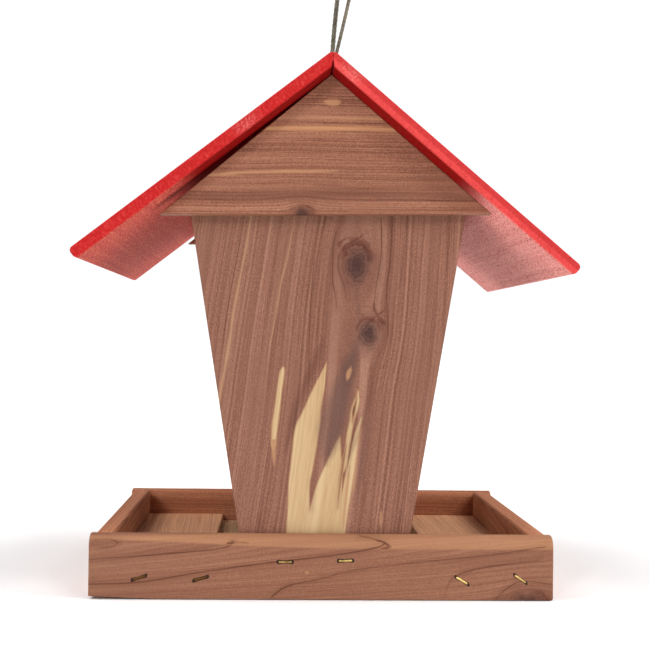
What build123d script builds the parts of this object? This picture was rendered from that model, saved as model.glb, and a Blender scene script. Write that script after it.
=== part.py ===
from build123d import *
import math
import os

# A hanging hopper feeder for birds, in millimetres. +Z is up, the front is towards -Y, and the origin
# is on the ground below the middle of the roof. A lidless hopper of two wooden ends and two clear
# windows stands in a shallow tray. A two-panel roof with its own gables caps it and slides up the
# steel cable that the feeder hangs from.

# Driving dimensions
BOARD = 12.7  # thickness of the tray, end and gable boards
TRAY_X = 0.9  # middle of the tray, which sits a little to the right of the roof's middle
TRAY_WIDTH = 318.0
TRAY_DEPTH = 270.0
TRAY_HEIGHT = 43.5
SIDE_INSET = 3.8  # how far the side boards stand in from the ends of the front and rear boards
PLANED_RISE = 1.6  # the front board's lower edge is planed up to its left end by this much
PLANED_RUN = 45.0
FLOOR_TOP = 22.5
SCREEN_HALF_WIDTH = 80.0  # half of the opening between the two floor boards
SCREEN_Z = 16.8
SCREEN_THICKNESS = 0.8
KERF = 1.2  # saw kerf that holds the screen
KERF_DEPTH = 4.0

RIDGE_X = 2.7  # middle of the hopper, the gables and the ridge
RIDGE_Z = 368.05  # where the two roof planes would meet
RIDGE_FLAT = 2.0  # half width of the flat that is planed on the ridge
ROOF_THICKNESS = 8.2
ROOF_LENGTH = 343.0  # along the ridge
ROOF_SLOPE = 217.5  # from the ridge down to the eave
LEFT_ANGLE = 37.9
RIGHT_ANGLE = 40.15
EAVE_RADIUS = 3.0
MITRE_CLOSED = 6.0  # the mitre is tight this far down, and below that it gapes
MITRE_GAP = 0.9

END_BOTTOM = 17.8
END_HALF_WIDTH = 59.6  # of an end panel, at the reference height
END_REFERENCE_Z = 44.0
END_SPLAY = 9.29  # lean of an end panel's sides, in degrees
ROOF_REST = 0.5  # gap between the end panels and the roof that rests on them
GABLE_GAP = 10.0  # from a gable's back to the face of the end panel behind it
GABLE_LEFT_Z = 260.7
GABLE_RIGHT_Z = 264.4

WINDOW_THICKNESS = 2.4
WINDOW_INSET = 8.0
WINDOW_BOTTOM = 38.0
WINDOW_HEIGHT = 232.0
GROOVE_WIDTH = 3.0
GROOVE_DEPTH = 5.0

STAPLE_CROWN = 9.9
STAPLE_WIRE = 1.2
STAPLE_LEG = 19.0
STAPLE_PROUD = 0.45

CABLE_DIAMETER = 3.2
CABLE_HOLE = 5.2
RIDGE_HOLE = 6.0
FERRULE_DIAMETER = 6.6
FERRULE_LENGTH = 8.0
# The cable's route: a stop ferrule inside the front end panel, up behind the front gable, out
# through the ridge, over in one loop, and back the same way at the rear.
CABLE_ROUTE = [
    (2.7, -103.0, 299.0),
    (2.7, -127.0, 323.0),
    (3.2, -127.7, 371.0),
    (7.2, -126.5, 418.0),
    (13.0, -119.0, 465.0),
    (20.0, -99.0, 508.0),
    (27.0, -66.0, 542.0),
    (33.0, -23.0, 560.0),
    (36.5, 24.0, 560.5),
    (37.5, 67.0, 543.0),
    (34.5, 100.0, 509.0),
    (25.8, 119.5, 466.0),
    (15.0, 126.5, 419.0),
    (3.4, 127.7, 371.0),
    (2.7, 127.0, 323.0),
    (2.7, 103.0, 299.0),
]

# Worked out from these
INNER_DEPTH = TRAY_DEPTH - 2 * BOARD
SIDE_OUTER = TRAY_WIDTH / 2 - SIDE_INSET
END_OUTER_Y = INNER_DEPTH / 2
END_INNER_Y = END_OUTER_Y - BOARD
GABLE_INNER_Y = END_OUTER_Y + GABLE_GAP
SPLAY_RATE = math.tan(math.radians(END_SPLAY))
GABLE_RATE = math.tan(math.radians(RIGHT_ANGLE))
GABLE_APEX_Z = RIDGE_Z - ROOF_THICKNESS / math.cos(math.radians(RIGHT_ANGLE))


def write(name, shape):
    """Writes one sub-part, whatever its number of solids, as its own STEP file."""
    shape.label = name
    export_step(shape, os.path.join("parts", name + ".step"))


def along_y(points, length):
    """A prism with an outline in X and Z, centred on Y."""
    face = make_face(Polyline(*[(x, z) for x, z in points], close=True))
    solid = extrude(Plane.XZ * face, amount=length / 2, both=True)
    return solid


def at_y(shape, y):
    return Pos(0, y, 0) * shape


def rounded_board(length, height, front_radius, back_radius):
    """A board along X with its foot on Z 0 and its two top edges rounded. The front is -Y."""
    half = BOARD / 2
    with BuildLine() as outline:
        Line((-half, 0), (-half, height - front_radius))
        JernArc((-half, height - front_radius), (0, 1), front_radius, -90)
        Line((front_radius - half, height), (half - back_radius, height))
        JernArc((half - back_radius, height), (1, 0), back_radius, -90)
        Line((half, height - back_radius), (half, 0))
        Line((half, 0), (-half, 0))
    solid = extrude(Plane.YZ * make_face(outline.edges()), amount=length / 2, both=True)
    ends = solid.faces().sort_by(Axis.X)
    return fillet(ends[0].edges() + ends[-1].edges(), 1.5)


def planed_corner():
    """The thin wedge that is planed off under the left end of the front board."""
    end = -TRAY_WIDTH / 2
    spare = 1.0
    slope = PLANED_RISE / PLANED_RUN
    outline = [
        (end - spare, -spare),
        (end + PLANED_RUN + spare / slope, -spare),
        (end - spare, PLANED_RISE + spare * slope),
    ]
    return along_y(outline, BOARD + 2 * spare)


def tray_boards():
    long_y = (TRAY_DEPTH - BOARD) / 2
    side = rounded_board(INNER_DEPTH, TRAY_HEIGHT, 1.5, 2.5)
    side_x = SIDE_OUTER - BOARD / 2
    front = rounded_board(TRAY_WIDTH, TRAY_HEIGHT, 9.0, 3.0) - planed_corner()
    rear = rounded_board(TRAY_WIDTH, TRAY_HEIGHT, 8.0, 4.0)
    write("tray_front_board", Pos(TRAY_X, -long_y, 0) * front)
    write("tray_rear_board", Pos(TRAY_X, long_y, 0) * rear)
    write("tray_left_board", Pos(TRAY_X - side_x, 0, 0) * Rot(0, 0, -90) * side)
    write("tray_right_board", Pos(TRAY_X + side_x, 0, 0) * Rot(0, 0, 90) * side)


def floor_board(outer_x, inner_x):
    """A floor board with a kerf in its inner edge for the screen."""
    width = abs(outer_x - inner_x)
    middle = (outer_x + inner_x) / 2
    board = Pos(middle, 0, FLOOR_TOP - BOARD / 2) * Box(width, INNER_DEPTH, BOARD)
    toward = math.copysign(1, outer_x - inner_x)
    kerf_x = inner_x + toward * KERF_DEPTH / 2
    kerf = Pos(kerf_x, 0, SCREEN_Z) * Box(KERF_DEPTH, INNER_DEPTH, KERF)
    top_edges = board.edges().filter_by(Axis.Y).group_by(Axis.Z)[-1]
    return fillet(top_edges, 0.8) - kerf


def tray_floor():
    inner = SIDE_OUTER - BOARD
    write("floor_board_left", floor_board(TRAY_X - inner, RIDGE_X - SCREEN_HALF_WIDTH))
    write("floor_board_right", floor_board(TRAY_X + inner, RIDGE_X + SCREEN_HALF_WIDTH))
    width = 2 * (SCREEN_HALF_WIDTH + KERF_DEPTH - 0.5)
    screen = Box(width, INNER_DEPTH - 0.6, SCREEN_THICKNESS)
    write("drain_screen", Pos(RIDGE_X, 0, SCREEN_Z) * screen)


def end_half_width(z):
    return END_HALF_WIDTH + (z - END_REFERENCE_Z) * SPLAY_RATE


def window_place(side):
    """Where a window's middle line lies, and its lean: side is -1 for left and 1 for right."""
    middle_z = WINDOW_BOTTOM + WINDOW_HEIGHT / 2 * math.cos(math.radians(END_SPLAY))
    middle_x = RIDGE_X + side * (end_half_width(middle_z) - WINDOW_INSET)
    return Pos(middle_x, 0, middle_z) * Rot(0, side * END_SPLAY, 0)


def end_panel(side):
    """A wooden end of the hopper: side is -1 at the front and 1 at the rear."""
    apex = GABLE_APEX_Z - ROOF_REST
    foot = end_half_width(END_BOTTOM)
    # The side line and the slope under the roof meet at the shoulder.
    reach = END_HALF_WIDTH + (apex - END_REFERENCE_Z) * SPLAY_RATE
    shoulder = reach / (1 + GABLE_RATE * SPLAY_RATE)
    outline = [
        (RIDGE_X - foot, END_BOTTOM),
        (RIDGE_X - shoulder, apex - shoulder * GABLE_RATE),
        (RIDGE_X, apex),
        (RIDGE_X + shoulder, apex - shoulder * GABLE_RATE),
        (RIDGE_X + foot, END_BOTTOM),
    ]
    panel = at_y(along_y(outline, BOARD), side * (END_OUTER_Y - BOARD / 2))
    outer = panel.faces().sort_by(Axis.Y)[0 if side < 0 else -1]
    panel = chamfer(outer.edges(), 0.5)
    for window in (-1, 1):
        groove = Box(GROOVE_WIDTH, 2 * GROOVE_DEPTH, 2 * WINDOW_HEIGHT)
        lifted = Pos(0, side * END_INNER_Y, WINDOW_HEIGHT / 2 - 0.6)
        panel -= window_place(window) * lifted * groove
    hole = Cylinder(CABLE_HOLE / 2, 4 * BOARD)
    (x, y, z), (_, corner_y, corner_z) = CABLE_ROUTE[0], CABLE_ROUTE[1]
    middle = ((y + corner_y) / 2, (z + corner_z) / 2)
    return panel - Pos(x, -side * middle[0], middle[1]) * Rot(-side * 45, 0, 0) * hole


def hopper():
    write("end_panel_front", end_panel(-1))
    write("end_panel_rear", end_panel(1))
    length = 2 * (END_INNER_Y + GROOVE_DEPTH - 0.3)
    for name, side in (("window_left", -1), ("window_right", 1)):
        pane = Box(WINDOW_THICKNESS, length, WINDOW_HEIGHT)
        write(name, window_place(side) * fillet(pane.edges(), 0.3))


def roof_panel(side, angle):
    """A roof panel as a prism along the ridge: side is -1 for left and 1 for right."""
    slope, cosine = math.radians(angle), math.cos(math.radians(angle))
    rate = math.tan(slope)
    eave = (ROOF_SLOPE * cosine, RIDGE_Z - ROOF_SLOPE * math.sin(slope))
    under_eave = (eave[0] - ROOF_THICKNESS * math.sin(slope), eave[1] - ROOF_THICKNESS * cosine)
    underside = RIDGE_Z - ROOF_THICKNESS / cosine
    outline = [
        (0, RIDGE_Z - RIDGE_FLAT * rate),
        (RIDGE_FLAT, RIDGE_Z - RIDGE_FLAT * rate),
        eave,
        under_eave,
        (MITRE_GAP, underside - MITRE_GAP * rate),
        (0, RIDGE_Z - MITRE_CLOSED),
    ]
    panel = along_y([(RIDGE_X + side * x, z) for x, z in outline], ROOF_LENGTH)
    eave_edges = panel.edges().filter_by(Axis.Y).sort_by(Axis.X)
    panel = fillet(eave_edges[:2] if side < 0 else eave_edges[-2:], EAVE_RADIUS)
    ends = panel.faces().sort_by(Axis.Y)
    panel = chamfer(ends[0].edges() + ends[-1].edges(), 0.7)
    for _, y, _ in (CABLE_ROUTE[2], CABLE_ROUTE[-3]):
        panel -= Pos(RIDGE_X + 0.3, y, RIDGE_Z) * Cylinder(RIDGE_HOLE / 2, 60)
    return panel


def gable(side):
    left = (GABLE_APEX_Z - GABLE_LEFT_Z) / GABLE_RATE
    right = (GABLE_APEX_Z - GABLE_RIGHT_Z) / GABLE_RATE
    outline = [
        (RIDGE_X - left, GABLE_LEFT_Z),
        (RIDGE_X, GABLE_APEX_Z),
        (RIDGE_X + right, GABLE_RIGHT_Z),
    ]
    board = at_y(along_y(outline, BOARD), side * (GABLE_INNER_Y + BOARD / 2))
    outer = board.faces().sort_by(Axis.Y)[0 if side < 0 else -1]
    return chamfer(outer.edges(), 0.6)


def roof():
    write("roof_panel_left", roof_panel(-1, LEFT_ANGLE))
    write("roof_panel_right", roof_panel(1, RIGHT_ANGLE))
    write("gable_front", gable(-1))
    write("gable_rear", gable(1))


def staple():
    """A wire staple with its crown along X, lying in Z 0, and its legs pointing down."""
    crown = Box(STAPLE_CROWN, STAPLE_WIRE, STAPLE_WIRE)
    crown = fillet(crown.edges().filter_by(Axis.X), 0.4)
    shape = crown
    for side in (-1, 1):
        leg_x = side * (STAPLE_CROWN - STAPLE_WIRE) / 2
        shape += Pos(leg_x, 0, -STAPLE_LEG / 2) * Box(STAPLE_WIRE, STAPLE_WIRE, STAPLE_LEG)
    return Pos(0, 0, STAPLE_PROUD - STAPLE_WIRE / 2) * shape


def tray_staples():
    # Place along the board, height and tilt of each staple of the front board. The middle two
    # hold the end panel, and the others the floor boards.
    places = [
        (-123.7, 14.2, 18),
        (-82.0, 13.8, 16),
        (-24.6, 25.4, 0),
        (16.6, 26.5, 2),
        (96.7, 13.2, -30),
        (136.9, 14.6, -33),
    ]
    half = TRAY_DEPTH / 2
    front, rear = [], []
    for x, z, tilt in places:
        front.append(Pos(x, -half, z) * Rot(90, 0, 0) * Rot(0, 0, tilt) * staple())
        rear.append(Pos(2 * TRAY_X - x, half, z) * Rot(-90, 0, 0) * Rot(0, 0, tilt) * staple())
    write("tray_front_staples", Compound(children=front))
    write("tray_rear_staples", Compound(children=rear))
    for name, side in (("tray_left_staples", -1), ("tray_right_staples", 1)):
        row = []
        for y, tilt in ((-84, 12), (3, -8), (79, 5)):
            place = Pos(TRAY_X + side * SIDE_OUTER, y, 15.6) * Rot(0, side * 90, 0)
            row.append(place * Rot(0, 0, 90 + tilt) * staple())
        write(name, Compound(children=row))


def roof_staples():
    """Staples through each roof panel into the sloping edges of the two gables."""
    middle_y = GABLE_INNER_Y + BOARD / 2
    for name, side, angle in (("roof_left_staples", -1, LEFT_ANGLE), ("roof_right_staples", 1, RIGHT_ANGLE)):
        slope = math.radians(angle)
        row = []
        for y, tilt in ((-middle_y, 8), (middle_y, -6)):
            for down in (28.0, 74.0, 122.0):
                x = RIDGE_X + side * down * math.cos(slope)
                place = Pos(x, y, RIDGE_Z - down * math.sin(slope)) * Rot(0, side * angle, 0)
                row.append(place * Rot(0, 0, tilt + down / 10) * staple())
        write(name, Compound(children=row))


def cable():
    """The cable as one tube, and a crimped stop ferrule on each end of it."""
    points = [Vector(*p) for p in CABLE_ROUTE]
    runs = [(b - a).length for a, b in zip(points, points[1:])]
    radii = []
    for i in range(1, len(points) - 1):
        turn = (points[i] - points[i - 1]).get_angle(points[i + 1] - points[i])
        shorter = min(runs[i - 1], runs[i])
        radii.append(0.45 * shorter / math.tan(math.radians(turn) / 2))
    print("cable radii, mm:", [round(r, 1) for r in radii])
    path = FilletPolyline(*points, radius=radii)
    start = Plane(origin=path @ 0, z_dir=path % 0)
    tube = sweep(start * Circle(CABLE_DIAMETER / 2), path=path)
    section = math.pi * CABLE_DIAMETER**2 / 4
    print("cable length, mm:", round(path.length, 1))
    print("tube volume over section times length:", round(tube.volume / (section * path.length), 4))
    write("hanger_cable", tube)
    for name, end, before in (("cable_ferrule_front", 0, 1), ("cable_ferrule_rear", -1, -2)):
        inward = (points[end] - points[before]).normalized()
        seat = Plane(origin=points[end], z_dir=inward)
        ferrule = fillet(Cylinder(FERRULE_DIAMETER / 2, FERRULE_LENGTH).edges(), 1.0)
        write(name, seat * Pos(0, 0, FERRULE_LENGTH / 2) * ferrule)


os.makedirs("parts", exist_ok=True)
tray_boards()
tray_floor()
hopper()
roof()
tray_staples()
roof_staples()
cable()
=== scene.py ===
import math
from collections import namedtuple

import bmesh
import bpy
from mathutils import Matrix, Vector


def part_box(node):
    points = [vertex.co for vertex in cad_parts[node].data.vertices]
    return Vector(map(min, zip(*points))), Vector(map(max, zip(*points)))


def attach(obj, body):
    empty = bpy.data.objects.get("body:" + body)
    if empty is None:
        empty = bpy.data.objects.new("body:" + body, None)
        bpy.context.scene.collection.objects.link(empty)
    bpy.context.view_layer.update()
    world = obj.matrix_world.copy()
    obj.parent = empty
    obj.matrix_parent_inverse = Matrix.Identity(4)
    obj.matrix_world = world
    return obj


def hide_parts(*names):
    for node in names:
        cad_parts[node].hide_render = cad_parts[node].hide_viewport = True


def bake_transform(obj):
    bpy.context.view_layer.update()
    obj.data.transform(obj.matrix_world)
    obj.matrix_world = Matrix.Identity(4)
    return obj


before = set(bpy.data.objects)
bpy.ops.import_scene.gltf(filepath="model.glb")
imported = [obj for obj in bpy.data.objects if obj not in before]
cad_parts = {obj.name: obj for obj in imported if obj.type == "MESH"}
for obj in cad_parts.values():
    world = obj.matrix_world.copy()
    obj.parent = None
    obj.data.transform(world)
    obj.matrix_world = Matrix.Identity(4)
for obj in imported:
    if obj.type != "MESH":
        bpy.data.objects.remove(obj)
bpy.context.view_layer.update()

# Looks of a hanging hopper feeder for birds: cedar boards, a red roof, brass staples, clear windows,
# a wire drain screen and a steel cable. Lengths are metres, except in a name or a list that says mm.
MM = 0.001


# ---------------------------------------------------------------- camera
def make_camera():
    """A camera in front of the feeder, a little to its left and at half its height."""
    place = (-0.03258, -1.01106, 0.17904)
    yaw, pitch, roll = math.radians(-2.172), math.radians(90.544), math.radians(0.680)
    turn = Matrix.Rotation(yaw, 4, "Z") @ Matrix.Rotation(pitch, 4, "X") @ Matrix.Rotation(roll, 4, "Z")
    data = bpy.data.cameras.new("camera")
    data.lens, data.sensor_width = 71.0, 36.0
    camera = bpy.data.objects.new("camera", data)
    bpy.context.scene.collection.objects.link(camera)
    camera.matrix_world = Matrix.Translation(place) @ turn
    bpy.context.scene.camera = camera


make_camera()

# ---------------------------------------------------------------- cable
CABLE_DIAMETER = 0.0032
# The cable's route: a stop ferrule inside the front end panel, up behind the front gable, out
# through the ridge, over in one loop, and back the same way at the rear.
CABLE_ROUTE = [
    (0.0027, -0.1030, 0.2990),
    (0.0027, -0.1270, 0.3230),
    (0.0032, -0.1277, 0.3710),
    (0.0072, -0.1265, 0.4180),
    (0.0130, -0.1190, 0.4650),
    (0.0200, -0.0990, 0.5080),
    (0.0270, -0.0660, 0.5420),
    (0.0330, -0.0230, 0.5600),
    (0.0365, 0.0240, 0.5605),
    (0.0375, 0.0670, 0.5430),
    (0.0345, 0.1000, 0.5090),
    (0.0258, 0.1195, 0.4660),
    (0.0150, 0.1265, 0.4190),
    (0.0034, 0.1277, 0.3710),
    (0.0027, 0.1270, 0.3230),
    (0.0027, 0.1030, 0.2990),
]


def add_object(name, mesh, body=None):
    """Links a mesh as a piece, which rides on a body if one is given."""
    piece = bpy.data.objects.new(name, mesh)
    bpy.context.scene.collection.objects.link(piece)
    if body:
        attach(piece, body)
    return piece


def spline_points(route, resolution):
    """The points of a smooth NURBS line along a route."""
    curve = bpy.data.curves.new("route", "CURVE")
    curve.dimensions = "3D"
    curve.resolution_u = resolution
    spline = curve.splines.new("NURBS")
    spline.points.add(len(route) - 1)
    for point, place in zip(spline.points, route):
        point.co = (*place, 1.0)
    spline.order_u = 3
    spline.use_endpoint_u = True
    holder = bpy.data.objects.new("route", curve)
    bpy.context.scene.collection.objects.link(holder)
    graph = bpy.context.evaluated_depsgraph_get()
    mesh = bpy.data.meshes.new_from_object(holder.evaluated_get(graph))
    points = [v.co.copy() for v in mesh.vertices]
    bpy.data.objects.remove(holder)
    bpy.data.meshes.remove(mesh)
    return points


def frames_along(points):
    """A tangent and two normals at each point, turning as little as they can, and the distance run."""
    frames, run = [], 0.0
    normal = None
    for i, point in enumerate(points):
        before, after = points[max(i - 1, 0)], points[min(i + 1, len(points) - 1)]
        tangent = (after - before).normalized()
        if normal is None:
            normal = tangent.orthogonal().normalized()
        normal = (normal - tangent * normal.dot(tangent)).normalized()
        if i:
            run += (point - points[i - 1]).length
        frames.append((point, tangent, normal, tangent.cross(normal), run))
    return frames


def sweep_ring(bm, rings):
    """Skins a list of rings of points into a tube with closed ends."""
    made = [[bm.verts.new(p) for p in ring] for ring in rings]
    sides = len(made[0])
    for near, far in zip(made, made[1:]):
        for k in range(sides):
            bm.faces.new((near[k], near[(k + 1) % sides], far[(k + 1) % sides], far[k]))
    bm.faces.new(made[0][::-1])
    bm.faces.new(made[-1])


def round_ring(centre, across, up, radius, sides):
    """A ring of points about a centre, in the plane of two unit vectors."""
    ring = []
    for k in range(sides):
        a = 2 * math.pi * k / sides
        ring.append(centre + (across * math.cos(a) + up * math.sin(a)) * radius)
    return ring


def mesh_from(bm, name, smooth=True):
    """Turns a bmesh into a mesh with its normals outward, and frees it."""
    bmesh.ops.recalc_face_normals(bm, faces=bm.faces)
    mesh = bpy.data.meshes.new(name)
    bm.to_mesh(mesh)
    bm.free()
    if smooth:
        mesh.polygons.foreach_set("use_smooth", [True] * len(mesh.polygons))
    return mesh


def make_cable():
    """A steel cable of six strands laid round a core, with the lay of a real one."""
    strands, lay = 6, 22 * MM
    strand_radius, lay_radius = CABLE_DIAMETER / 6, CABLE_DIAMETER / 3
    # The core and the strands are a little fat, so that no gap shows between them.
    core_fat, strand_fat = 1.15, 1.04
    line = spline_points(CABLE_ROUTE, 32)
    frames = frames_along(line)
    bm = bmesh.new()
    sweep_ring(bm, [round_ring(p, n, b, strand_radius * core_fat, 8) for p, t, n, b, run in frames])
    for strand in range(strands):
        rings = []
        for point, tangent, normal, binormal, run in frames:
            a = 2 * math.pi * (run / lay + strand / strands)
            out = normal * math.cos(a) + binormal * math.sin(a)
            side = tangent.cross(out)
            centre = point + out * lay_radius
            rings.append(round_ring(centre, out, side, strand_radius * strand_fat, 7))
        sweep_ring(bm, rings)
    cable = add_object("cable_strands", mesh_from(bm, "cable_strands"))
    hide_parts("hanger_cable")
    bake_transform(cable)
    return cable, line


cable, cable_line = make_cable()


# ---------------------------------------------------------------- small metal pieces
def wire_rings(path, across, half_width, half_thick, sides=12):
    """Rings of a slightly flat wire that follows a few points, its width along `across`."""
    rings = []
    for i, point in enumerate(path):
        before, after = path[max(i - 1, 0)], path[min(i + 1, len(path) - 1)]
        side = (after - before).normalized().cross(across).normalized()
        ring = []
        for k in range(sides):
            a = 2 * math.pi * k / sides
            ring.append(point + across * math.cos(a) * half_width + side * math.sin(a) * half_thick)
        rings.append(ring)
    return rings


def islands(mesh):
    """The separate lumps of a mesh, as lists of points."""
    bm = bmesh.new()
    bm.from_mesh(mesh)
    bmesh.ops.remove_doubles(bm, verts=bm.verts, dist=0.001 * MM)
    seen, found = set(), []
    for start in bm.verts:
        if start in seen:
            continue
        seen.add(start)
        island, stack = [], [start]
        while stack:
            vert = stack.pop()
            island.append(vert.co.copy())
            for edge in vert.link_edges:
                other = edge.other_vert(vert)
                if other not in seen:
                    seen.add(other)
                    stack.append(other)
        found.append(island)
    bm.free()
    return found


def staple_places(node, outward):
    """The middle of each staple's crown and the direction along it, from the CAD node."""
    places = []
    for island in islands(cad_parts[node].data):
        top = max(p.dot(outward) for p in island)
        crown = [p for p in island if p.dot(outward) > top - 0.6 * MM]
        centre = sum(crown, Vector()) / len(crown)
        far = max(crown, key=lambda p: (p - centre).length) - centre
        end = [p for p in crown if (p - centre).dot(far) > 0.8 * far.length_squared]
        along = sum(end, Vector()) / len(end) - centre
        along -= outward * along.dot(outward)
        places.append((centre + outward * (top - centre.dot(outward)), along.normalized()))
    return places


def make_staples(node, piece_name, body, outward, leg):
    """Brass wire staples with bent shoulders, where a CAD node has its plain ones."""
    half_width, half_thick = 0.66 * MM, 0.42 * MM
    half, bend = 4.95 * MM - half_thick, 0.9 * MM
    quarter = [math.pi / 2 * step / 4 for step in range(5)]
    bm = bmesh.new()
    for i, (top, along) in enumerate(staple_places(node, outward)):
        crown = top - outward * half_thick
        sag = (0.06 + 0.08 * (i % 3)) * MM
        path = []
        for side, angles in ((-1, quarter), (1, quarter[::-1])):
            foot = crown + along * side * half - outward * leg
            shoulder = [
                crown + along * side * (half - bend * (1 - math.cos(a))) - outward * bend * (1 - math.sin(a))
                for a in angles
            ]
            path += [foot, *shoulder] if side < 0 else [crown - outward * sag, *shoulder, foot]
        sweep_ring(bm, wire_rings(path, outward.cross(along).normalized(), half_width, half_thick))
    piece = add_object(piece_name, mesh_from(bm, piece_name), body)
    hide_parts(node)
    return piece


def crimped_rings(centre, axis, across, up, length):
    """The rings of a sleeve with rounded ends, pressed flat at three places along it."""
    radius, sides, steps = 3.3 * MM, 32, 36
    rounded, shoulder = 0.9 * MM, 0.72
    marks, mark_reach, mark_depth = (0.25, 0.5, 0.75), 0.75 * MM, 0.16
    rings = []
    for i in range(steps + 1):
        t = i / steps
        edge = min(min(t, 1 - t) * length / rounded, 1.0)
        r = radius * (shoulder + (1 - shoulder) * math.sqrt(1 - (1 - edge) ** 2))
        press = sum(math.exp(-(((t - mark) * length) / mark_reach) ** 2) for mark in marks)
        middle = centre + axis * (t - 0.5) * length
        ring = []
        for k in range(sides):
            a = 2 * math.pi * k / sides
            squeeze = 1 - mark_depth * press * math.cos(a) ** 2
            ring.append(middle + (across * math.cos(a) * squeeze + up * math.sin(a)) * r)
        rings.append(ring)
    return rings


def make_ferrule(node, piece_name, inward):
    """A crimped sleeve with its three press marks, and the cable's cut end standing out of it."""
    low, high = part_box(node)
    centre = (low + high) / 2
    axis = Vector(inward).normalized()
    across = axis.orthogonal().normalized()
    up = axis.cross(across)
    length, strands = 8.0 * MM, 6
    bm = bmesh.new()
    sweep_ring(bm, crimped_rings(centre, axis, across, up, length))
    stub_start = centre + axis * length * 0.45
    for strand in range(strands):
        a = 2 * math.pi * strand / strands
        start = stub_start + (across * math.cos(a) + up * math.sin(a)) * CABLE_DIAMETER / 3
        reach = (1.5 + 0.15 * (strand % 3)) * MM
        ends = (start, start + axis * reach)
        sweep_ring(bm, [round_ring(end, across, up, CABLE_DIAMETER / 6, 8) for end in ends])
    piece = add_object(piece_name, mesh_from(bm, piece_name), "feeder")
    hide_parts(node)
    return piece


def make_screen():
    """A woven wire screen, in the place of the plain sheet of the CAD model."""
    low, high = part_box("drain_screen")
    pitch, wire = 2.7 * MM, 0.21 * MM
    middle_z = (low.z + high.z) / 2
    swing = 0.19 * MM
    bm = bmesh.new()

    def wires(first, last, start, end, along, across):
        count = int((last - first) / pitch)
        spare = (last - first - (count - 1) * pitch) / 2
        steps = int((end - start) / pitch * 2)
        for i in range(count):
            at = first + spare + i * pitch
            phase = (i % 2) * math.pi + (0 if along.x else math.pi / 2)
            rings = []
            for k in range(steps + 1):
                s = start + (end - start) * k / steps
                wave = math.cos(math.pi * (s - start) / pitch + phase)
                centre = along * s + across * at + Vector((0, 0, middle_z + swing * wave))
                rings.append(round_ring(centre, across, Vector((0, 0, 1)), wire, 4))
            sweep_ring(bm, rings)

    x_axis, y_axis = Vector((1, 0, 0)), Vector((0, 1, 0))
    wires(low.y, high.y, low.x, high.x, x_axis, y_axis)
    wires(low.x, high.x, low.y, high.y, y_axis, x_axis)
    piece = add_object("drain_screen_wires", mesh_from(bm, "drain_screen_wires"), "feeder")
    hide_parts("drain_screen")
    return piece


FRONT, REAR = Vector((0, -1, 0)), Vector((0, 1, 0))
LEFT, RIGHT = Vector((-1, 0, 0)), Vector((1, 0, 0))
LEFT_ANGLE, RIGHT_ANGLE = math.radians(37.9), math.radians(40.15)
ROOF_LEFT = Vector((-math.sin(LEFT_ANGLE), 0, math.cos(LEFT_ANGLE)))
ROOF_RIGHT = Vector((math.sin(RIGHT_ANGLE), 0, math.cos(RIGHT_ANGLE)))
TRAY_LEG, ROOF_LEG = 17 * MM, 7.5 * MM
staples = [
    make_staples("tray_front_staples", "front_staple_wires", "feeder", FRONT, TRAY_LEG),
    make_staples("tray_rear_staples", "rear_staple_wires", "feeder", REAR, TRAY_LEG),
    make_staples("tray_left_staples", "left_staple_wires", "feeder", LEFT, TRAY_LEG),
    make_staples("tray_right_staples", "right_staple_wires", "feeder", RIGHT, TRAY_LEG),
    make_staples("roof_left_staples", "roof_left_staple_wires", "roof", ROOF_LEFT, ROOF_LEG),
    make_staples("roof_right_staples", "roof_right_staple_wires", "roof", ROOF_RIGHT, ROOF_LEG),
]
ferrules = [
    make_ferrule("cable_ferrule_front", "front_ferrule_crimped", (0, 1, -1)),
    make_ferrule("cable_ferrule_rear", "rear_ferrule_crimped", (0, -1, -1)),
]
screen = make_screen()


# ---------------------------------------------------------------- materials
def srgb(red, green, blue):
    """A linear colour from the usual 0 to 255 values."""
    def linear(value):
        c = value / 255
        return c / 12.92 if c <= 0.04045 else ((c + 0.055) / 1.055) ** 2.4

    return (linear(red), linear(green), linear(blue), 1.0)


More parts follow.
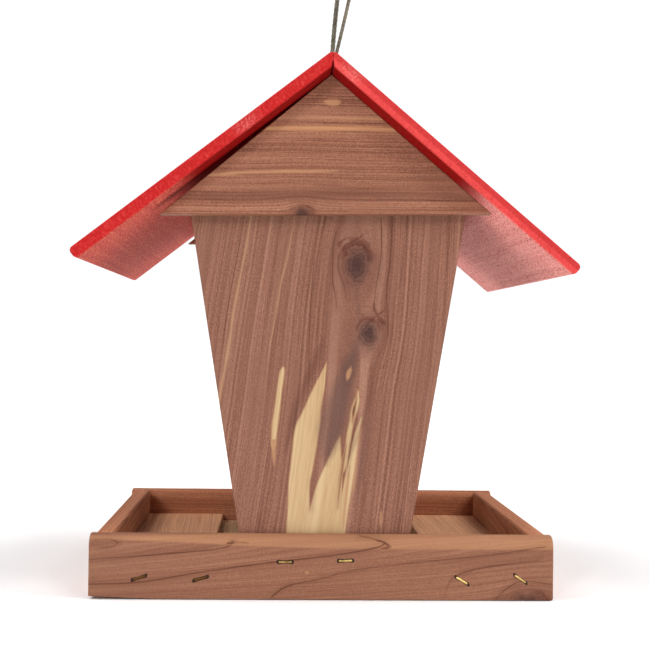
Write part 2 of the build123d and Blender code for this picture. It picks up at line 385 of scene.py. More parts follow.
class Shader:
    """One material, and short names for the nodes that make it."""

    def __init__(self, name):
        self.material = bpy.data.materials.new(name)
        self.material.use_nodes = True
        self.nodes = self.material.node_tree.nodes
        self.links = self.material.node_tree.links
        self.nodes.clear()
        self.surface = self.nodes.new("ShaderNodeBsdfPrincipled")
        output = self.nodes.new("ShaderNodeOutputMaterial")
        self.links.new(self.surface.outputs["BSDF"], output.inputs["Surface"])

    def feed(self, socket, value):
        """Links another node's output to an input, or sets a constant on it."""
        if isinstance(value, bpy.types.NodeSocket):
            self.links.new(value, socket)
        else:
            socket.default_value = value

    def node(self, kind, *inputs, output=0, **settings):
        node = self.nodes.new("ShaderNode" + kind)
        for key, value in settings.items():
            setattr(node, key, value)
        for socket, value in zip(node.inputs, inputs):
            self.feed(socket, value)
        return node.outputs[output]

    def math(self, operation, *values, clamp=False):
        return self.node("Math", *values, operation=operation, use_clamp=clamp)

    def vector(self, operation, *values, output=0):
        return self.node("VectorMath", *values, operation=operation, output=output)

    def join(self, x, y, z=0.0):
        return self.node("CombineXYZ", x, y, z)

    def add(self, first, *rest):
        for value in rest:
            first = self.math("ADD", first, value)
        return first

    def times(self, a, b):
        return self.math("MULTIPLY", a, b)

    def noise(self, place, detail=2.0, roughness=0.5):
        node = self.nodes.new("ShaderNodeTexNoise")
        self.feed(node.inputs["Vector"], place)
        node.inputs["Scale"].default_value = 1.0
        node.inputs["Detail"].default_value = detail
        node.inputs["Roughness"].default_value = roughness
        return node.outputs["Fac"]

    def swing(self, place, size, detail=2.0, roughness=0.5):
        """Noise about zero, from about -size to size."""
        centred = self.math("SUBTRACT", self.noise(place, detail, roughness), 0.5)
        return self.times(centred, 2.5 * size)

    def step(self, value, start, end, low=0.0, high=1.0):
        """A smooth step from low to high as value goes from start to end."""
        return self.node("MapRange", value, start, end, low, high, interpolation_type="SMOOTHSTEP")

    def mix(self, factor, a, b, blend="MIX"):
        node = self.nodes.new("ShaderNodeMix")
        node.data_type, node.blend_type = "RGBA", blend
        self.feed(node.inputs[0], factor)
        self.feed(node.inputs[6], a)
        self.feed(node.inputs[7], b)
        return node.outputs[2]

    def ramp(self, factor, *stops):
        node = self.nodes.new("ShaderNodeValToRGB")
        elements = node.color_ramp.elements
        while len(elements) < len(stops):
            elements.new(0.5)
        for element, (place, colour) in zip(elements, stops):
            element.position, element.color = place, colour
        self.feed(node.inputs[0], factor)
        return node.outputs[0]

    def curve(self, value, places, results):
        """A smooth function of value that passes through a few results at rising places."""
        node = self.nodes.new("ShaderNodeFloatCurve")
        line = node.mapping.curves[0]
        first, span = places[0], places[-1] - places[0]
        low, height = min(results), max(max(results) - min(results), 1e-3)
        while len(line.points) < len(places):
            line.points.new(0.5, 0.5)
        for point, place, result in zip(line.points, places, results):
            point.location = ((place - first) / span, (result - low) / height)
            point.handle_type = "AUTO_CLAMPED"
        node.mapping.update()
        share = self.math("MULTIPLY_ADD", value, 1 / span, -first / span, clamp=True)
        self.feed(node.inputs["Factor"], 1.0)
        self.feed(node.inputs["Value"], share)
        return self.math("MULTIPLY_ADD", node.outputs[0], height, low)

    def millimetres(self):
        """X, Y and Z of the point in the row frame, in millimetres."""
        place = self.node("TexCoord", output="Object")
        scaled = self.vector("MULTIPLY", place, (1000, 1000, 1000))
        split = self.nodes.new("ShaderNodeSeparateXYZ")
        self.feed(split.inputs[0], scaled)
        return split.outputs

    def finish(self, colour, roughness, height=None, depth=0.0):
        """Sets colour and roughness, and a bump of the given depth in millimetres."""
        self.feed(self.surface.inputs["Base Color"], colour)
        self.feed(self.surface.inputs["Roughness"], roughness)
        if height is not None:
            bump = self.nodes.new("ShaderNodeBump")
            bump.inputs["Strength"].default_value = 1.0
            bump.inputs["Distance"].default_value = depth * MM
            self.feed(bump.inputs["Height"], height)
            self.links.new(bump.outputs[0], self.surface.inputs["Normal"])
        return self.material


def paint(piece, material):
    """Gives every slot of a piece one material."""
    piece.data.materials.clear()
    piece.data.materials.append(material)


# A board of cedar. Its broad face lies in two axes, and its grain follows one of them. The pith is
# the middle of the rings, across the grain and in depth, and taper makes the rings cut the face at
# a slant, as arches. Lean, fan and wave bend the grain; bold, fine and rough weigh its bands, its
# fine lines and its pores. Knots are (first, second, radius, stretch), in the order of the face's
# axes. Each mark is a stroke: a list of (place along the grain, place across it, half width) points,
# in order. All are in mm, in the row frame.
Board = namedtuple(
    "Board",
    "face grain pith taper lean fan wave bold fine rough tint"
    " knots sap sanded tan pale dark grey rust lines slots",
    defaults=(0.0, 0.0, 0.0, 3.0, 1.0, 1.0, 1.0, (1.0, 1.0, 1.0)) + 10 * ((),),
)


def along_mark(g, along, across, marks):
    """Distance outside the nearest of some strokes along the grain, in mm, below zero inside them."""
    nearest = None
    for mark in marks:
        places, middles, halves = zip(*mark)
        centre = g.curve(along, places, middles)
        width = g.curve(along, places, halves)
        outside = g.math("SUBTRACT", g.math("ABSOLUTE", g.math("SUBTRACT", across, centre)), width)
        middle, reach = (places[0] + places[-1]) / 2, (places[-1] - places[0]) / 2
        past = g.math("SUBTRACT", g.math("ABSOLUTE", g.math("SUBTRACT", along, middle)), reach)
        outside = g.math("MAXIMUM", outside, past)
        nearest = outside if nearest is None else g.math("MINIMUM", nearest, outside)
    return nearest


def around_knots(g, straight, along, knots):
    """How far each knot pushes the grain aside, the distance from the nearest in its radii, and a
    mask that is 1 just above each."""
    total, nearest, above = 0.0, None, 0.0
    for k_across, k_along, radius, stretch in knots:
        off = g.math("SUBTRACT", straight, k_across)
        down = g.math("DIVIDE", g.math("SUBTRACT", along, k_along), stretch)
        squared = g.add(g.times(off, off), g.times(down, down))
        reach = g.math("MAXIMUM", squared, radius * radius)
        push = g.math("DIVIDE", g.times(off, radius * radius), reach)
        # The bend dies out a few radii up and down the grain.
        fade = g.step(g.math("ABSOLUTE", down), radius * 1.2, radius * 6, 1.0, 0.0)
        total = g.math("MULTIPLY_ADD", push, fade, total)
        radii = g.math("DIVIDE", g.math("SQRT", squared), radius)
        nearest = radii if nearest is None else g.math("MINIMUM", nearest, radii)
        over = g.step(down, -0.1 * radius, 0.7 * radius)
        above = g.math("MAXIMUM", above, g.times(over, g.step(radii, 1.9, 1.6)))
    return total, nearest, above


HEART_DARK, HEART_MID, HEART_LIGHT = srgb(100, 58, 46), srgb(158, 108, 88), srgb(196, 148, 124)
HEART_PATCH = srgb(148, 102, 84)
SAP_DARK, SAP_LIGHT = srgb(196, 155, 110), srgb(228, 197, 152)
# The second colour below is a routed edge's lighter wood with a painted highlight.
SAP_EDGE, ROUTED_HIGHLIGHT = srgb(168, 116, 84), srgb(209, 156, 118)
TAN, PALE = srgb(198, 148, 108), srgb(212, 165, 128)
# The last colour below is painted shade, for the recesses round the staples.
GREY, LINE, RUST, SLOT_SHADE = srgb(108, 79, 72), srgb(104, 60, 44), srgb(94, 38, 22), srgb(26, 14, 9)
KNOT_RING, KNOT_HEART, KNOT_ROUND = srgb(48, 28, 25), srgb(79, 51, 47), srgb(120, 76, 64)

# How each kind of stroke is blended in: its name in Board, its colour and strength, the softness of
# its edge and the raggedness of its ends in mm, and how much of the wood's figure shows in it.
STAINS_AND_HIGHLIGHT = (
    ("grey", GREY, 0.82, 4.5, 1.5, 0.35),
    ("dark", HEART_DARK, 0.55, 3.0, 1.0, 0.30),
    # The routed top edge's lighter band: partly lighter wood, partly painted highlight.
    ("sanded", ROUTED_HIGHLIGHT, 0.66, 0.9, 0.3, 0.75),
    ("tan", TAN, 0.90, 0.9, 1.0, 0.30),
    ("pale", PALE, 0.75, 1.2, 0.8, 0.30),
    ("rust", RUST, 0.85, 0.7, 1.2, 0.30),
)


def grain_flow(g, board, along, straight, depth):
    """The place across the grain, which drifts, leans and fans out over the board."""
    slow = g.join(g.times(along, 1 / 210), g.times(straight, 1 / 42), g.times(depth, 1 / 42))
    quick = g.join(g.times(along, 1 / 48), g.times(straight, 1 / 9), g.times(depth, 1 / 9))
    across = g.add(straight, g.swing(slow, board.wave), g.swing(quick, 0.35))
    tilt = g.math("MULTIPLY_ADD", straight, board.fan, -board.lean)
    return g.math("MULTIPLY_ADD", along, tilt, across)


def heartwood(g, board, along, across, depth):
    """The colour of red cedar, how light it is, and its fine lines and its fibres."""
    # The rings are cones round the pith, so they show as lines, arches or circles.
    pith_across, pith_depth = board.pith
    from_pith = g.join(g.math("SUBTRACT", across, pith_across), g.math("SUBTRACT", depth, pith_depth))
    ring = g.vector("LENGTH", from_pith, output="Value")
    ring = g.math("MULTIPLY_ADD", along, board.taper, ring)

    bands = g.noise(g.join(g.times(ring, 1 / 9), g.times(along, 1 / 520)), 3.0)
    fine = g.noise(g.join(g.times(ring, 1 / 0.9), g.times(along, 1 / 480)), 3.0, 0.6)
    late = g.noise(g.join(g.times(ring, 1 / 3.2), g.times(along, 1 / 700), 7.0), 3.0, 0.6)
    late = g.math("ABSOLUTE", g.math("MULTIPLY_ADD", late, 2.0, -1.0))
    late = g.step(late, 0.0, 0.05, 1.0, 0.0)
    fibre = g.join(g.times(across, 1 / 0.42), g.times(depth, 1 / 0.42), g.times(along, 1 / 16))
    fibre = g.noise(fibre, 2.0, 0.6)
    speck = g.join(g.times(across, 0.95), g.times(along, 0.75), g.times(depth, 0.95))
    speck = g.noise(speck, 2.0, 0.7)

    shade = g.times(g.math("SUBTRACT", bands, 0.5), 0.34 * board.bold)
    for part, weight in ((fine, 1.2 * board.fine), (fibre, 0.26), (speck, 0.85 * board.rough)):
        shade = g.math("MULTIPLY_ADD", g.math("SUBTRACT", part, 0.5), weight, shade)
    shade = g.math("MULTIPLY_ADD", late, -0.17 * board.fine, shade)
    heart = g.ramp(g.math("ADD", shade, 0.5), (0.05, HEART_DARK), (0.5, HEART_MID), (0.95, HEART_LIGHT))
    patch = g.noise(g.join(g.times(along, 1 / 90), g.times(across, 1 / 22), g.times(depth, 1 / 40)), 2.0)
    heart = g.mix(g.step(patch, 0.35, 0.75, 0.0, 0.5), heart, HEART_PATCH)
    return heart, shade, fine, fibre


def sapwood(g, colour, outside, fine, fibre):
    """Adds cream sapwood with a browner rim, where the distance outside it is below zero."""
    cream = g.math("MULTIPLY_ADD", g.math("SUBTRACT", fibre, 0.5), 0.5, fine)
    cream = g.ramp(cream, (0.2, SAP_DARK), (0.62, SAP_LIGHT))
    colour = g.mix(g.step(outside, -0.4, 0.4, 1.0, 0.0), colour, cream)
    rim = g.step(g.math("ABSOLUTE", g.math("ADD", outside, 0.1)), 0.1, 0.9, 0.5, 0.0)
    return g.mix(rim, colour, SAP_EDGE)


def late_wood(g, colour, outside):
    """Adds thin dark lines, with a soft shade beside each."""
    colour = g.mix(g.step(outside, 0.0, 4.5, 0.18, 0.0), colour, LINE)
    return g.mix(g.step(outside, -0.25, 0.5, 0.84, 0.0), colour, LINE)


def knot_marks(g, colour, knot, above, place):
    """Adds grey ringed knots, with a rusty crescent above each."""
    wobble = g.swing(g.vector("MULTIPLY", place, (0.16, 0.13, 0.16)), 0.40, 3.0, 0.6)
    radii = g.add(knot, wobble)
    colour = g.mix(g.step(radii, 2.3, 0.8, 0.0, 0.45), colour, KNOT_ROUND)
    crescent = g.times(g.step(radii, 0.85, 1.05), g.step(radii, 1.42, 1.12))
    patchy = g.step(wobble, -0.30, 0.15, 0.15, 0.70)
    colour = g.mix(g.times(g.times(crescent, above), patchy), colour, RUST)
    colour = g.mix(g.step(radii, 1.2, 0.15, 0.0, 0.90), colour, KNOT_HEART)
    ripple = g.step(g.math("SINE", g.times(radii, 26.0)), -0.1, 0.9)
    return g.mix(g.times(ripple, g.step(radii, 1.6, 0.3, 0.0, 0.42)), colour, KNOT_RING)


def cedar(name, board):
    """Aromatic cedar: pink-brown heartwood with fine lines, pale sapwood, knots and stains, and painted
    highlight and painted shade where a board asks for them.
    """
    g = Shader(name)
    axes = dict(zip("xyz", g.millimetres()))
    (across_axis,) = set(board.face) - set(board.grain)
    (depth_axis,) = set("xyz") - set(board.face)
    along, straight, depth = axes[board.grain], axes[across_axis], axes[depth_axis]
    knots = board.knots
    if board.grain == board.face[0]:
        knots = [(second, first, *size) for first, second, *size in knots]
    push, knot, above_knot = around_knots(g, straight, along, knots)
    across = g.math("SUBTRACT", grain_flow(g, board, along, straight, depth), push)
    heart, shade, fine, fibre = heartwood(g, board, along, across, depth)

    # Strokes end raggedly along the grain.
    ragged = g.join(g.times(across, 1 / 1.1), g.times(along, 1 / 22), g.times(depth, 1 / 3))
    ragged = g.swing(ragged, 1.0, 3.0)

    def outside(marks, rag):
        return g.math("MULTIPLY_ADD", ragged, rag, along_mark(g, along, straight, marks))

    colour = heart
    if board.sap:
        colour = sapwood(g, colour, outside(board.sap, 0.8), fine, fibre)
    for kind, tint, strength, soft, rag, figure in STAINS_AND_HIGHLIGHT:
        marks = getattr(board, kind)
        if marks:
            stain_and_highlight = g.mix(figure, tint, g.mix(g.step(fine, 0.25, 0.75), tint, heart))
            colour = g.mix(g.step(outside(marks, rag), -soft, soft, strength, 0.0), colour, stain_and_highlight)
    if board.lines:
        colour = late_wood(g, colour, outside(board.lines, 0.35))
    if board.knots:
        place = g.join(axes[board.face[0]], axes[board.face[1]])
        colour = knot_marks(g, colour, knot, above_knot, place)
    # Painted shade in the recess round each staple.
    if board.slots:
        colour = g.mix(g.step(outside(board.slots, 0.25), -0.15, 0.35, 0.93, 0.0), colour, SLOT_SHADE)
    colour = g.mix(1.0, colour, (*board.tint, 1.0), "MULTIPLY")

    height = g.add(g.times(fine, 0.8), g.times(fibre, 0.6))
    g.surface.inputs["Specular IOR Level"].default_value = 0.2
    return g.finish(colour, g.step(shade, -0.4, 0.4, 0.76, 0.62), height, 0.09)


def staple_slot_shades(node, outward, along_axis, across_axis):
    """Painted shade: a dark stroke in the wood along each staple of a CAD node, longer and wider than its
    crown, for the shade in the recess where it is sunk.
    """
    slots = []
    for middle, along in staple_places(node, outward):
        along = along if along[along_axis] > 0 else -along
        ends = [(middle + along * reach * MM) / MM for reach in (-5.9, -5.0, 0.0, 5.0, 5.9)]
        widths = (0.4, 1.3, 1.0, 1.3, 0.4)
        slots.append([(end[along_axis], end[across_axis], w) for end, w in zip(ends, widths)])
    return tuple(slots)


END_FRONT = Board(
    "xz", "z", pith=(0.0, -40.0), taper=0.0, lean=0.128, fan=0.0006, wave=2.2, tint=(0.76, 0.75, 0.74),
    knots=((23.0, 229.9, 9.8, 1.45), (31.2, 181.6, 7.8, 1.25)),
    sap=(
        ((40, -15.3, 9.0), (73, -15.6, 7.5), (93, -13.2, 8.2), (111, -11.2, 8.8), (128, -7.2, 6.3),
         (148, -1.3, 3.2), (162, 2.8, 0.0)),
        ((40, 1.5, 12.0), (52, 2.6, 12.0), (62, 3.6, 11.2), (76, 5.6, 9.2), (90, 8.2, 6.0), (101, 10.2, 3.2),
         (112, 12.6, 0.0)),
        ((40, 12.9, 3.6), (56, 14.9, 3.4), (66, 16.4, 3.4), (80, 18.8, 3.3), (92, 21.0, 3.0),
         (112, 24.2, 1.7), (124, 27.4, 0.4)),
        ((84, 15.2, 0.0), (92, 16.2, 1.6), (104, 17.6, 1.8), (118, 20.0, 1.7), (131, 22.6, 2.4),
         (137, 24.2, 1.6), (143, 24.8, 0.0)),
        ((100, -33.8, 0.0), (106, -33.6, 2.0), (132, -31.0, 2.1), (153, -28.4, 1.8), (159, -27.4, 0.0)),
    ),
    tan=(
        ((44, 15.2, 0.0), (58, 16.2, 0.9), (74, 17.8, 0.5), (90, 19.4, 0.1)),
        ((60, 11.2, 0.0), (74, 12.4, 0.8), (88, 14.0, 1.0), (102, 16.2, 0.4), (112, 18.0, 0.0)),
        ((70, 22.4, 0.0), (84, 23.2, 1.0), (100, 24.6, 0.7), (116, 27.0, 0.0)),
        ((118, 21.0, 0.0), (127, 21.8, 1.2), (136, 23.4, 0.8), (143, 24.6, 0.0)),
        ((88, -32.6, 0.0), (96, -33.2, 1.2), (108, -33.5, 2.2)),
        ((48, 41.2, 0.0), (54, 41.4, 0.9), (60, 41.5, 0.0)),
        ((149, 17.2, 0.0), (154, 18.0, 1.5), (159, 19.4, 0.0)),
    ),
    pale=(
        ((130, -72.0, 0.0), (137, -71.0, 0.8), (180, -64.2, 1.0), (192, -62.8, 0.9), (212, -59.5, 0.8),
         (234, -55.4, 0.7), (257, -51.7, 0.7), (268, -50.0, 0.4)),
        ((140, -39.6, -0.8), (172, -36.8, 0.1), (190, -33.6, 0.3), (216, -29.9, 0.4), (232, -26.1, 0.3),
         (257, -21.4, -0.1), (264, -20.0, -0.6)),
    ),
    dark=(
        ((100, -25.5, 0.6), (135, -16.0, 3.2), (160, -6.0, 2.6), (178, 0.0, 0.4)),
        ((96, 19.0, 0.0), (120, 28.0, 1.6), (140, 33.0, 1.4), (160, 34.0, 0.4)),
    ),
    rust=(
        ((98, -20.6, -0.2), (104, -20.2, 0.2), (112, -20.0, -0.1)),
        ((124, 21.6, -0.2), (128, 22.0, 0.5), (133, 22.8, -0.1)),
        ((241, 10.2, 0.4), (245.0, 11.2, 1.5), (247, 13.4, 1.1), (248.6, 17.4, 0.5)),
        ((239.6, 12.6, 0.8), (243.4, 15.4, 1.4), (246.0, 20.0, 0.9), (249.5, 25.4, 0.8), (252.0, 28.6, 0.0)),
        ((231.5, 31.6, 0.6), (235.3, 31.2, 2.0), (239.0, 29.4, 1.6), (243.0, 27.0, 0.6)),
        ((188.5, 42.0, 1.2), (191.5, 39.6, 1.6), (196.0, 36.6, 1.0), (203.0, 34.6, 0.3)),
        ((188.0, 30.0, 0.6), (191.5, 33.6, 1.0), (194.5, 37.4, 1.0), (199.0, 43.0, 0.3)),
    ),
    grey=(
        ((92, 2.4, 0.5), (103, 4.4, 5.4), (124, 8.0, 8.6), (144, 13.4, 6.6), (160, 19.0, 4.8),
         (172, 23.0, 3.0), (186, 27.0, 0.5)),
        ((188, 25.0, -2.0), (206, 23.0, 0.0), (222, 21.5, 0.0)),
        ((60, 23.5, -1.0), (90, 27.0, 0.8), (120, 31.0, -0.5)),
    ),
    lines=(
        ((150, -10.2, 0.0), (205, -8.8, 0.15), (263, -3.2, 0.0)),
        ((206, 15.5, 0.0), (213.6, 14.3, 0.1), (224, 10.8, 0.3), (231, 9.7, 0.3), (236, 10.3, 0.2),
         (240, 13.4, 0.0)),
        ((200, 9.0, 0.0), (210, 7.8, 0.1), (222, 6.0, 0.2), (235, 6.0, 0.2), (252, 8.0, 0.0)),
        ((198, 34.6, 0.0), (214, 36.3, 0.2), (227, 38.5, 0.3), (244, 39.8, 0.3), (263, 39.2, 0.1)),
        ((179, 45.0, 0.0), (193, 44.6, 0.2), (209, 43.7, 0.2), (231, 45.9, 0.3), (263, 47.4, 0.1)),
        ((62, 11.6, -0.3), (76, 12.8, 0.1), (90, 14.6, 0.1), (104, 16.8, -0.2)),
        ((84, 17.4, -0.3), (98, 19.2, 0.1), (112, 21.6, 0.1), (126, 24.0, -0.3)),
        ((122, 21.0, -0.2), (129, 22.0, 0.2), (137, 23.8, -0.2)),
        ((60, -6.4, -0.4), (80, -4.6, -0.1), (96, -1.0, -0.3)),
    ),
)
END_REAR = Board(
    "xz", "z", pith=(-70.0, 60.0), taper=0.0, lean=-0.02, fan=0.0006, wave=2.6, bold=1.4,
    knots=((-38.0, 118.0, 6.5, 1.3),),
    sap=(((30, 58.0, 5.0), (120, 66.0, 3.0), (150, 72.0, 0.4)),),
    pale=(((120, 6.0, 0.5), (200, 0.0, 1.1), (262, -5.0, 0.6)),),
)
GABLE_FRONT = Board(
    "xz", "x", pith=(200.0, -40.0), taper=0.0, lean=0.008, wave=1.2, bold=2.4, fine=1.1,
    tint=(0.84, 0.77, 0.68),
    knots=((-16.2, 263.0, 4.6, 1.4),),
    tan=(((-72, 318.6, 0.4), (-40, 319.6, 1.3), (10, 320.6, 1.7), (70, 319.8, 1.3)),),
    dark=(((-120, 272.0, 1.0), (-30, 274.0, 3.5), (40, 276.0, 3.0), (120, 272.0, 2.0)),),
    pale=(
        ((-38, 326.8, 0.0), (20, 327.4, 0.6), (46, 327.0, 0.1)),
        ((-2, 338.5, 0.8), (5, 338.0, 2.2), (9, 338.6, 0.8)),
        ((-62, 319.0, 0.0), (-20, 320.0, 0.6), (16, 320.7, 0.5), (60, 320.0, 0.1)),
        ((-86, 286.8, 0.4), (-40, 290.4, 1.0), (8, 291.6, 0.4)),
    ),
)
GABLE_REAR = Board("xz", "x", pith=(180.0, 60.0), taper=0.01, wave=1.6, tint=(0.98, 0.93, 0.85))
TRAY_FRONT = Board(
    "xz", "x", pith=(41.0, -105.0), taper=0.05, wave=1.4, fine=0.55, rough=0.55, tint=(0.80, 0.77, 0.68),
    knots=((143.0, -2.0, 7.5, 1.7),),
    # A lighter band along the rounded top edge: partly lighter routed wood, partly painted highlight where
    # the edge faces up.
    sanded=(((-175, 41.0, 0.5), (-90, 40.6, 2.4), (-50, 40.2, 4.0), (40, 39.6, 5.0), (175, 39.4, 4.8)),),
    pale=(((-10.4, 18.2, 0.2), (-9.6, 18.4, 0.5), (-8.8, 18.2, 0.2)),),
    rust=(
        ((38, 39.8, 0.0), (42, 39.0, 0.5), (45.4, 37.4, 0.8), (47.4, 35.6, 0.6)),
        ((40.5, 35.2, 0.1), (45.0, 35.6, 0.8), (47.6, 36.6, 0.2)),
        ((-65, 37.0, 0.0), (-62, 38.4, 0.9), (-58.5, 38.6, 0.4), (-50, 38.0, 0.0)),
    ),
    lines=(
        ((-154, 39.6, 0.0), (-146, 40.0, 0.1), (-138, 38.0, 0.2)),
        ((-150, 34.2, 0.0), (-143, 35.0, 0.1), (-138, 38.0, 0.2)),
        ((-160, 26.2, 0.1), (-112, 30.0, 0.3), (-66, 35.0, 0.3), (-60, 38.6, 0.2)),
        ((-160, 9.6, 0.3), (-131, 10.6, 0.4), (-83, 18.0, 0.3), (-52, 22.6, 0.3), (38, 35.6, 0.4),
         (44, 38.6, 0.3)),
        ((26, 42.8, 0.1), (36, 41.0, 0.2), (44, 38.6, 0.3)),
        ((-33.5, 1.7, 0.5), (-30, 4.7, 0.6), (-23.4, 8.7, 0.5), (-14, 11.3, 0.2), (-5, 13.0, 0.1),
         (17.5, 18.9, 0.1), (29, 21.1, 0.1), (52, 24.0, 0.1), (74, 26.5, 0.2), (108, 29.9, 0.2),
         (154, 36.7, 0.1)),
        ((85, 3.0, 0.0), (89.5, 14.0, 0.2), (98.4, 19.0, 0.3), (150, 27.6, 0.1)),
        ((120.4, 1.0, 0.2), (129.2, 9.0, 0.3), (140, 13.0, 0.2), (158, 11.0, 0.0)),
    ),
    slots=staple_slot_shades("tray_front_staples", FRONT, 0, 2),
)
TRAY_REAR = Board(
    "xz", "x", pith=(-60.0, 90.0), taper=0.02, wave=1.6, tint=(1.18, 0.98, 0.72),
    slots=staple_slot_shades("tray_rear_staples", REAR, 0, 2),
)
# Its tint makes it lighter than the other boards: partly its own tone, partly painted light for light
# falling into the tray.
TRAY_SIDE = Board(
    "yz", "y", pith=(70.0, -60.0), taper=0.015, wave=1.4, tint=(1.42, 1.28, 0.99),
    slots=staple_slot_shades("tray_right_staples", RIGHT, 1, 2),
)
# Its tint makes it much lighter than the other boards: partly its own tone, partly painted light for light
# falling into the tray.
FLOOR = Board("xy", "y", pith=(-200.0, -90.0), taper=0.02, wave=2.4, tint=(1.54, 1.72, 1.38))


# A roof panel: its CAD node, its side and its slope, the colours of its edges and of its underside
# where the paint is thin and where the wood shows, both paler with a painted sheen, the worn spot's
# X and Z, and how far down the slope the paint underneath is thick and darker with painted shade,
# in mm.
Roof = namedtuple("Roof", "node side angle edge thin bare worn_at thick_to")


def full_paint(g, depth, streak):
    """Full red paint, with darker and lighter streaks along the grain."""
    red = g.ramp(depth, (0.30, srgb(158, 12, 18)), (0.50, srgb(188, 33, 34)), (0.72, srgb(208, 62, 57)))
    red = g.mix(g.step(streak, 0.52, 0.72, 0.0, 0.45), red, srgb(214, 62, 56))
    return g.mix(g.step(streak, 0.46, 0.28, 0.0, 0.5), red, srgb(150, 10, 14))


def edge_paint(g, roof, depth, out, worn):
    """The edges' paint, with a darker line along the upper corner and a worn spot."""
    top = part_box(roof.node)[1].z / MM * math.cos(roof.angle)
    red = g.ramp(depth, (0.16, srgb(140, 14, 16)), (0.5, roof.edge), (0.90, srgb(224, 94, 88)))
    red = g.mix(g.step(out, top - 1.5, top - 0.5, 0.0, 0.4), red, srgb(150, 12, 16))
    return g.mix(worn, red, srgb(218, 126, 120))


def worn_spot(g, roof, place, drift, speck):
    """A ragged spot of the edges where the wood shows through, as a share of bare wood."""
    radius = 13.0
    centre = (roof.worn_at[0], 0.0, roof.worn_at[1])
    distance = g.vector("DISTANCE", place, centre, output="Value")
    near = g.step(g.add(distance, g.swing(drift, 3.0)), radius, 1.0)
    return g.times(near, g.step(speck, 0.42, 0.62, 0.05, 0.5))


def underside_paint_and_light(g, roof, depth, speck, down, drift):
    """Paint underneath: thick and dark towards the ridge, with painted shade there, and thin from there down
    to the eave, paler with a painted sheen.
    """
    bare = g.math("MULTIPLY_ADD", g.math("SUBTRACT", speck, 0.5), 1.6, g.times(depth, 0.7))
    thin = g.ramp(bare, (0.10, srgb(158, 46, 40)), (0.35, roof.thin), (0.62, roof.bare))
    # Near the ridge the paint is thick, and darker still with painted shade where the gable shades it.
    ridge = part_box(roof.node)[1].z / MM * math.sin(roof.angle)
    fade = 34.0
    from_ridge = g.add(down, ridge, g.swing(drift, 8.0))
    thick_and_shade = g.step(from_ridge, roof.thick_to - fade, roof.thick_to, 1.0, 0.0)
    return g.mix(thick_and_shade, thin, srgb(138, 10, 10))


def red_roof(name, roof):
    """Wood under a thin red paint: full on the top and the edges, and rubbed thin underneath, with a painted
    sheen there and painted shade near the ridge.
    """
    g = Shader(name)
    x, y, z = g.millimetres()
    upward = (roof.side * math.sin(roof.angle), 0, math.cos(roof.angle))
    # Distance down the slope and out of the board, so that the grain follows the slope's width.
    down = g.add(g.times(x, roof.side * math.cos(roof.angle)), g.times(z, -math.sin(roof.angle)))
    out = g.add(g.times(x, upward[0]), g.times(z, upward[2]))
    drift = g.join(g.times(y, 1 / 200), g.times(down, 1 / 40), g.times(out, 1 / 40))
    across = g.add(down, g.swing(drift, 4.0))
    fine = g.join(g.times(across, 1 / 1.4), g.times(out, 1 / 3.0), g.times(y, 1 / 240))
    fine = g.noise(fine, 5.0, 0.62)
    fibre = g.noise(g.join(g.times(across, 1 / 0.5), g.times(out, 1 / 0.5), g.times(y, 1 / 10)), 2.0)
    speck = g.noise(g.join(g.times(x, 0.8), g.times(y, 0.8), g.times(z, 0.8)), 3.0, 0.7)
    blotch = g.noise(g.join(g.times(x, 1 / 30), g.times(y, 1 / 30), g.times(z, 1 / 30)), 3.0)
    streak = g.join(g.times(across, 1 / 7), g.times(y, 1 / 160), g.times(out, 1 / 20))
    streak = g.noise(streak, 3.0, 0.6)
    depth = g.add(g.times(fine, 0.5), g.times(fibre, 0.2), g.times(speck, 0.3))

    worn = worn_spot(g, roof, g.join(x, 0.0, z), drift, speck)
    facing = g.nodes.new("ShaderNodeNewGeometry").outputs["True Normal"]
    turn = g.vector("DOT_PRODUCT", facing, upward, output="Value")
    colour = edge_paint(g, roof, depth, out, worn)
    colour = g.mix(g.step(turn, 0.6, 0.9), colour, full_paint(g, depth, streak))
    colour = g.mix(g.step(turn, -0.6, -0.9), colour, underside_paint_and_light(g, roof, depth, speck, down, drift))
    colour = g.mix(g.step(blotch, 0.3, 0.7, 0.0, 0.10), colour, srgb(150, 16, 20))
    height = g.add(g.times(fine, 0.7), g.times(fibre, 0.4), g.times(speck, 0.3))
    g.surface.inputs["Specular IOR Level"].default_value = 0.06
    return g.finish(colour, g.step(depth, 0.3, 0.7, 0.62, 0.75), height, 0.07)


def metal(name, dull, bright, roughness, painted_shade_left=0.0):
    """Bare metal with a mottled tarnish and fine grit. It may be darker at the object's left, as painted
    shade.
    """
    g = Shader(name)
    x, y, z = g.millimetres()
    place = g.join(x, y, z)
    mottle = g.noise(g.vector("MULTIPLY", place, (0.35, 0.35, 0.35)), 4.0, 0.6)
    grit = g.noise(g.vector("MULTIPLY", place, (2.0, 2.0, 2.0)), 3.0, 0.6)
    patch = g.noise(g.vector("MULTIPLY", place, (0.011, 0.011, 0.03)), 1.0)
    tone = g.add(g.times(mottle, 0.55), g.times(grit, 0.3), g.times(patch, 0.5), -0.18)
    # Painted shade: darker towards the object's left.
    if painted_shade_left:
        shade_starts, shade_full = -40.0, -75.0
        tone = g.add(tone, g.step(x, shade_starts, shade_full, 0.0, -painted_shade_left))
    g.surface.inputs["Metallic"].default_value = 1.0
    colour = g.ramp(tone, (0.35, dull), (0.62, bright))
    return g.finish(colour, g.step(tone, 0.3, 0.7, roughness + 0.12, roughness), grit, 0.02)


ACRYLIC_IOR = 1.49


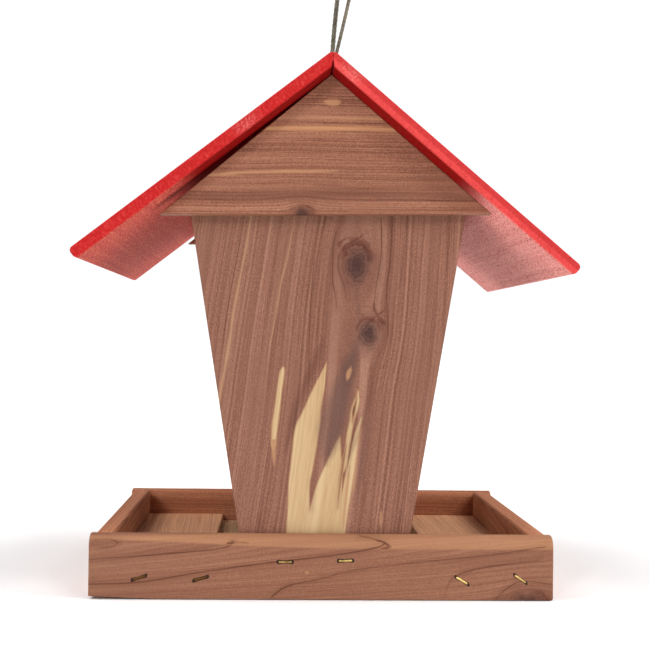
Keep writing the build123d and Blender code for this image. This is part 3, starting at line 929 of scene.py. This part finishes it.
def clear_plastic():
    """Clear acrylic, with the faint haze of handling."""
    g = Shader("clear_acrylic")
    x, y, z = g.millimetres()
    haze = g.noise(g.join(g.times(x, 0.03), g.times(y, 0.03), g.times(z, 0.03)), 4.0, 0.65)
    scuff = g.noise(g.join(g.times(x, 1.1), g.times(y, 0.09), g.times(z, 0.7)), 3.0, 0.7)
    g.surface.inputs["Transmission Weight"].default_value = 1.0
    g.surface.inputs["IOR"].default_value = ACRYLIC_IOR
    colour = g.ramp(haze, (0.3, srgb(248, 252, 250)), (0.7, srgb(240, 246, 244)))
    return g.finish(colour, g.step(haze, 0.35, 0.75, 0.02, 0.07), scuff, 0.004)


LEFT_RED = red_roof("roof_paint_left", Roof(
    "roof_panel_left", -1, LEFT_ANGLE,
    edge=srgb(178, 33, 33), thin=srgb(206, 73, 58), bare=srgb(240, 156, 137),
    worn_at=(-54.0, 319.0), thick_to=146.0,
))
# The right panel's underside is paler than the left's: painted light, for more light falling under it.
RIGHT_RED = red_roof("roof_paint_right", Roof(
    "roof_panel_right", 1, RIGHT_ANGLE,
    edge=srgb(208, 68, 66), thin=srgb(245, 158, 150), bare=srgb(253, 196, 187),
    worn_at=(14.0, 352.0), thick_to=155.0,
))
BRASS = metal("staple_brass", srgb(96, 66, 30), srgb(238, 207, 128), 0.30, painted_shade_left=0.24)
STEEL = metal("cable_steel", srgb(90, 84, 70), srgb(150, 144, 128), 0.42)
ALUMINIUM = metal("ferrule_aluminium", srgb(160, 160, 158), srgb(214, 214, 212), 0.32)
SCREEN = metal("screen_wire", srgb(164, 130, 98), srgb(220, 184, 146), 0.5)

FINISHES = (
    (cedar("cedar_end_front", END_FRONT), ("end_panel_front",)),
    (cedar("cedar_end_rear", END_REAR), ("end_panel_rear",)),
    (cedar("cedar_gable_front", GABLE_FRONT), ("gable_front",)),
    (cedar("cedar_gable_rear", GABLE_REAR), ("gable_rear",)),
    (cedar("cedar_tray_front", TRAY_FRONT), ("tray_front_board",)),
    (cedar("cedar_tray_rear", TRAY_REAR), ("tray_rear_board",)),
    (cedar("cedar_tray_side", TRAY_SIDE), ("tray_left_board", "tray_right_board")),
    (cedar("cedar_floor", FLOOR), ("floor_board_left", "floor_board_right")),
    (LEFT_RED, ("roof_panel_left",)),
    (RIGHT_RED, ("roof_panel_right",)),
    (clear_plastic(), ("window_left", "window_right")),
)
for material, names in FINISHES:
    for name in names:
        paint(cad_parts[name], material)
for piece in staples:
    paint(piece, BRASS)
for piece in ferrules:
    paint(piece, ALUMINIUM)
paint(cable, STEEL)
paint(screen, SCREEN)


# ---------------------------------------------------------------- stage and light
def make_floor():
    """A pale floor just under the tray."""
    radius, gap = 60.0, 0.6 * MM
    bm = bmesh.new()
    bmesh.ops.create_circle(bm, cap_ends=True, segments=96, radius=radius)
    floor = add_object("studio_floor", mesh_from(bm, "studio_floor", smooth=False))
    floor.location.z = -gap
    g = Shader("studio_floor")
    x, y, z = g.millimetres()
    grain = g.noise(g.join(g.times(x, 0.4), g.times(y, 0.4), g.times(z, 0.4)), 2.0)
    paint(floor, g.finish(g.ramp(grain, (0.3, srgb(250, 250, 250)), (0.7, srgb(253, 253, 253))), 0.9))


def make_light(name, place, target, size, energy):
    """A square lamp that faces a target."""
    data = bpy.data.lights.new(name, "AREA")
    data.shape, data.size, data.energy = "SQUARE", size, energy
    light = bpy.data.objects.new(name, data)
    bpy.context.scene.collection.objects.link(light)
    light.location = place
    light.rotation_euler = (Vector(target) - Vector(place)).to_track_quat("-Z", "Y").to_euler()


def make_world():
    """A white surround, which shows brighter behind the object than the light that it gives."""
    world = bpy.data.worlds.new("studio")
    bpy.context.scene.world = world
    world.use_nodes = True
    tree = world.node_tree
    background = tree.nodes["Background"]
    background.inputs["Color"].default_value = (1.0, 1.0, 1.0, 1.0)
    path = tree.nodes.new("ShaderNodeLightPath")
    strength = tree.nodes.new("ShaderNodeMapRange")
    strength.inputs["To Min"].default_value = SURROUND
    strength.inputs["To Max"].default_value = 1.05
    tree.links.new(path.outputs["Is Camera Ray"], strength.inputs["Value"])
    tree.links.new(strength.outputs[0], background.inputs["Strength"])


def make_sun(name, energy, spread, direction):
    """A very wide soft light, even over the floor."""
    data = bpy.data.lights.new(name, "SUN")
    data.energy, data.angle = energy, math.radians(spread)
    light = bpy.data.objects.new(name, data)
    bpy.context.scene.collection.objects.link(light)
    light.rotation_euler = Vector(direction).to_track_quat("-Z", "Y").to_euler()


SURROUND = 0.29
CENTRE = (0.0, 0.0, 0.1)
make_floor()
make_world()
make_sun("left_sun", 1.9, 40.0, (0.72, 0.06, -1.0))
make_sun("right_sun", 2.1, 40.0, (-0.72, 0.06, -1.0))
make_light("key_left", (-0.7, -1.9, 0.60), CENTRE, 0.22, 9.8)
make_light("key_right", (0.9, -1.8, 0.95), CENTRE, 0.60, 9.2)
bpy.context.scene.view_settings.view_transform = "Standard"
